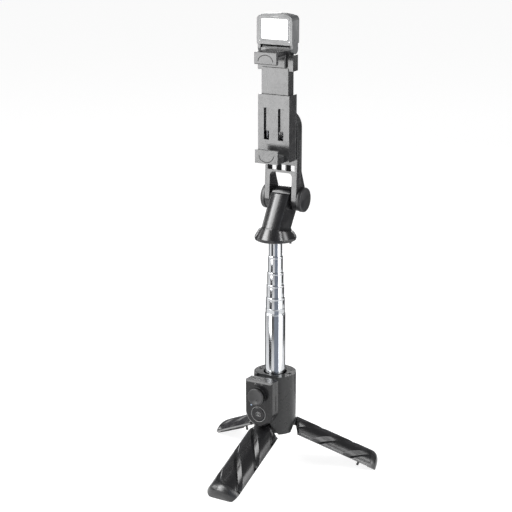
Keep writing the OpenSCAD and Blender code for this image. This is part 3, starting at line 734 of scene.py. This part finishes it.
# remote
remoteLook = dict(
    edge=0.3, faceEdge=0.22, collarEdge=0.25, lightEdge=0.1, capR=6.6, dishDepth=0.9, knurls=48,
    knurlDepth=0.04,
    ringR=6.0, ringWire=0.18,
    iconWire=0.17, lensR=0.8, chevronX=2.6, chevronDown=2.6, chevronWire=0.14,
    iconPoints=[(-1.9, -1.3), (1.9, -1.3), (1.9, 1.1), (0.9, 1.1), (0.6, 1.7), (-0.6, 1.7), (-0.9, 1.1),
                (-1.9, 1.1)],
)
mould("remote front piece", "remote_front", remoteLook["faceEdge"], 2, 30)
mould("remote back piece", "remote_back", remoteLook["edge"], 2, 30)
mould("joystick collar piece", "joystick_collar", remoteLook["collarEdge"], 2)
mould("remote light piece", "remote_light", remoteLook["lightEdge"], 2)


def towardFront(x, z):
    # turned pieces on the remote: their Z comes out of its face, along -Y
    return Matrix.Translation((x * mm, 0, z * mm)) @ Matrix.Rotation(math.radians(90), 4, "X")


def joystickCap():
    low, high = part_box("joystick_cap")
    top, back = -low.y / mm, -high.y / mm
    z = (low.z + high.z) / 2 / mm
    r, depth = remoteLook["capR"], remoteLook["dishDepth"]
    dish = [(r * 0.86 * k / 14, top - depth * (1 - (k / 14) ** 2)) for k in range(15)]
    rim = []
    for t in range(0, 91, 15):
        a = math.radians(t)
        rim.append((r - 0.45 + 0.4 * math.sin(a), top - 0.5 + 0.5 * math.cos(a)))
    edge = [(r - 0.04, top - 0.8), (r - 0.04, top - 1.1), (r - 0.04, top - 1.4), (r - 0.3, top - 1.75),
            (r - 1.2, top - 2.05)]
    stem = [(3.7, top - 2.3), (3.3, top - 3.0), (3.2, top - 4.0), (4.1, back + 1.3), (4.1, back + 0.75),
            (1.15, back + 0.75), (1.15, back + 0.03), (0, back + 0.03)]
    profile = dish + rim + edge + stem
    first = len(dish) + len(rim)
    mesh = spun("joystick cap piece", profile, 192, towardFront(0, z), remoteLook["knurls"],
                remoteLook["knurlDepth"],
                range(first, first + 3))
    addPiece("joystick cap piece", mesh, "joystick_cap", "joystick_rubber", "joystick_cap", smooth=40)


def circle(radius, count):
    turns = [2 * math.pi * k / count for k in range(count)]
    return [(radius * math.cos(a), radius * math.sin(a)) for a in turns]


def shutterButton():
    low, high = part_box("shutter_button")
    face, back = -low.y / mm, -high.y / mm
    z = (low.z + high.z) / 2 / mm
    r = (high.x - low.x) / 2 / mm
    profile = [(r * 0.9 * k / 12, face - 0.22 + 0.2 * (k / 12) ** 2) for k in range(13)]
    profile += [(r - 0.25, face - 0.04), (r - 0.05, face - 0.2), (r, face - 0.45), (r, face - 1.8),
                (1.2, face - 1.8),
                (1.2, back), (0, back)]
    place = towardFront(0, z)
    addPiece("shutter button piece", spun("shutter button piece", profile, 96, place), "shutter_button",
             "remote_plastic",
             "shutter_button")
    # camera outline raised on the button, and a thin ring round it on the shell; the raised shapes are real, their
    # light grey is painted highlight
    lift, look = face - 0.2, remoteLook
    marks = {
        "camera outline": [(x, y, lift) for x, y in look["iconPoints"]],
        "camera lens": [(x, y - 0.1, lift) for x, y in circle(look["lensR"], 24)],
    }
    for name, points in marks.items():
        mark = wire(name, points, look["iconWire"], True, place)
        addPiece(name, mark, "shutter_button", "raised_mark_highlight", slot="lamp_plastic")
    shell = -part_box("remote_front")[0].y / mm
    ring = wire("button ring", [(x, y, shell) for x, y in circle(look["ringR"], 72)], look["ringWire"],
                True, place)
    addPiece("button ring", ring, "remote", "raised_mark_highlight", slot="lamp_plastic")


# raised chevrons: the shape is real, their light grey is painted highlight
def chevrons():
    shell = -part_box("remote_front")[0].y / mm
    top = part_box("remote_front")[1].z / mm
    out, down = remoteLook["chevronX"], remoteLook["chevronDown"]
    for name, x in (("left chevron", -out), ("right chevron", out)):
        points = [(-0.8, 0, shell), (0, 0.7, shell), (0.8, 0, shell)]
        mark = wire(name, points, remoteLook["chevronWire"], False, towardFront(x, top - down))
        addPiece(name, mark, "remote", "raised_mark_highlight", slot="remote_plastic")


joystickCap()
shutterButton()
chevrons()
print("remote done")

# camera
viewFrom = dict(azimuth=28.909, elevation=15.363, place=(0.5298, -0.9902, 0.4799), lens=107.07, sensor=36,
                near=0.01)
azimuth, elevation = math.radians(viewFrom["azimuth"]), math.radians(viewFrom["elevation"])
camera = bpy.data.objects.new("camera", bpy.data.cameras.new("camera"))
camera.data.lens = viewFrom["lens"]
camera.data.sensor_width = viewFrom["sensor"]
camera.data.clip_start = viewFrom["near"]
camera.location = viewFrom["place"]
level = math.cos(elevation)
toward = Vector((-math.sin(azimuth) * level, math.cos(azimuth) * level, -math.sin(elevation)))
camera.rotation_mode = "QUATERNION"
camera.rotation_quaternion = toward.to_track_quat("-Z", "Y")
bpy.context.scene.collection.objects.link(camera)
bpy.context.scene.camera = camera


# studio
def studioMat(name, colour, rough, glow=0.0):
    mat = bpy.data.materials.new(name)
    mat.use_nodes = True
    shader = mat.node_tree.nodes["Principled BSDF"]
    shader.inputs["Base Color"].default_value = (*colour, 1)
    shader.inputs["Roughness"].default_value = rough
    shader.inputs["Emission Color"].default_value = (*colour, 1)
    shader.inputs["Emission Strength"].default_value = glow
    return mat


def stagePlane(name, size, place, facing, mat):
    mesh = bpy.data.meshes.new(name)
    w, h = size[0] / 2, size[1] / 2
    mesh.from_pydata([(-w, -h, 0), (w, -h, 0), (w, h, 0), (-w, h, 0)], [], [(0, 1, 2, 3)])
    mesh.materials.append(mat)
    obj = bpy.data.objects.new(name, mesh)
    obj.location = place
    obj.rotation_mode = "QUATERNION"
    obj.rotation_quaternion = Vector(facing).to_track_quat("Z", "Y")
    bpy.context.scene.collection.objects.link(obj)
    return obj


def softLight(name, place, aim, size, power):
    data = bpy.data.lights.new(name, "AREA")
    data.shape = "RECTANGLE"
    data.size, data.size_y = size
    data.energy = power
    obj = bpy.data.objects.new(name, data)
    obj.location = place
    obj.rotation_mode = "QUATERNION"
    obj.rotation_quaternion = (Vector(aim) - Vector(place)).to_track_quat("-Z", "Y")
    bpy.context.scene.collection.objects.link(obj)
    return obj


studioLook = dict(
    floorTint=(0.4, 0.4, 0.4), floorRough=0.8, floorGlow=2.15, floorDrop=0.0002, skySeen=1.0, skyLight=0.2,
    lights={
        "key": dict(place=(-0.55, -0.6, 0.85), aim=(0, 0, 0.2), size=(0.5, 0.4), power=10),
        "right rim": dict(place=(0.8, 0.1, 0.5), aim=(0, 0, 0.2), size=(0.25, 0.7), power=4),
        "edge strip": dict(place=(0.72, -0.32, 0.8), aim=(0, 0, 0.22), size=(0.1, 0.5), power=3),
    },
)
floorMat = studioMat("floor white", studioLook["floorTint"], studioLook["floorRough"],
                     studioLook["floorGlow"])
stagePlane("floor", (8, 8), (0, 0, -studioLook["floorDrop"]), (0, 0, 1), floorMat)
world = bpy.data.worlds.new("studio")
world.use_nodes = True
sky = world.node_tree.nodes["Background"]
sky.inputs["Color"].default_value = (1, 1, 1, 1)
# white behind the object, softer where it only lights and reflects
rays = world.node_tree.nodes.new("ShaderNodeLightPath")
strength = world.node_tree.nodes.new("ShaderNodeMapRange")
strength.inputs["To Min"].default_value = studioLook["skyLight"]
strength.inputs["To Max"].default_value = studioLook["skySeen"]
world.node_tree.links.new(rays.outputs["Is Camera Ray"], strength.inputs["Value"])
world.node_tree.links.new(strength.outputs["Result"], sky.inputs["Strength"])
bpy.context.scene.world = world
bpy.context.scene.view_settings.view_transform = "Standard"
for name, light in studioLook["lights"].items():
    softLight(name, **light)

# cards that only show as reflections; turn is counted from the camera's side, to the right
sideCards = dict(
    broad=dict(turn=14, distance=0.34, width=0.33, low=0.0, tall=0.5,
               tint=(0.36, 0.40, 0.48), glow=0.0),
    frontLow=dict(turn=-57.8, distance=0.5, width=0.29, low=0.0, tall=0.09,
                  tint=(0.035, 0.035, 0.04), glow=0.0),
    frontLeft=dict(turn=-57.8, distance=0.55, width=0.26, low=0.095, tall=0.32,
                   tint=(1, 1, 1), glow=8.0),
    right=dict(turn=47, distance=0.55, width=0.12, low=0.0, tall=0.42, tint=(1, 1, 1), glow=5.0),
    farRight=dict(turn=72, distance=0.5, width=0.28, low=0.0, tall=0.25, tint=(1, 1, 1), glow=1.0),
    left=dict(turn=-100, distance=0.5, width=0.35, low=0.13, tall=0.25, tint=(1, 1, 1), glow=3.5),
    farSide=dict(turn=122, distance=0.6, width=0.5, low=0.0, tall=0.25,
                 tint=(0.03, 0.03, 0.03), glow=0.0),
    lowEdges=dict(turn=180, distance=0.12, width=0.36, low=0.0, tall=0.07,
                  tint=(0.10, 0.10, 0.11), glow=0.0),
    edges=dict(turn=180, distance=0.3, width=0.9, low=0.0, tall=0.165,
               tint=(0.10, 0.10, 0.11), glow=0.0),
    back=dict(turn=180, distance=1.3, width=2.0, low=0.3, tall=0.23, tint=(1, 1, 1), glow=5.0),
)
aboveCard = dict(size=(0.7, 0.45), place=(-0.45, -0.35, 0.95), facing=(0.42, 0.3, -0.85), glow=7.0)


def reflectOnly(panel):
    panel.visible_camera = False
    panel.visible_diffuse = False
    panel.visible_shadow = False


for key, card in sideCards.items():
    turn = azimuth + math.radians(card["turn"])
    away = Vector((math.sin(turn), -math.cos(turn), 0))
    middle = away * card["distance"] + Vector((0, 0, card["low"] + card["tall"] / 2))
    cardMat = studioMat(key + " card", card["tint"], 0.9, card["glow"])
    reflectOnly(stagePlane(key + " card", (card["width"], card["tall"]), middle, -away, cardMat))
cardMat = studioMat("above card", (1, 1, 1), 0.9, aboveCard["glow"])
reflectOnly(stagePlane("above card", aboveCard["size"], aboveCard["place"], aboveCard["facing"], cardMat))
print("studio done")
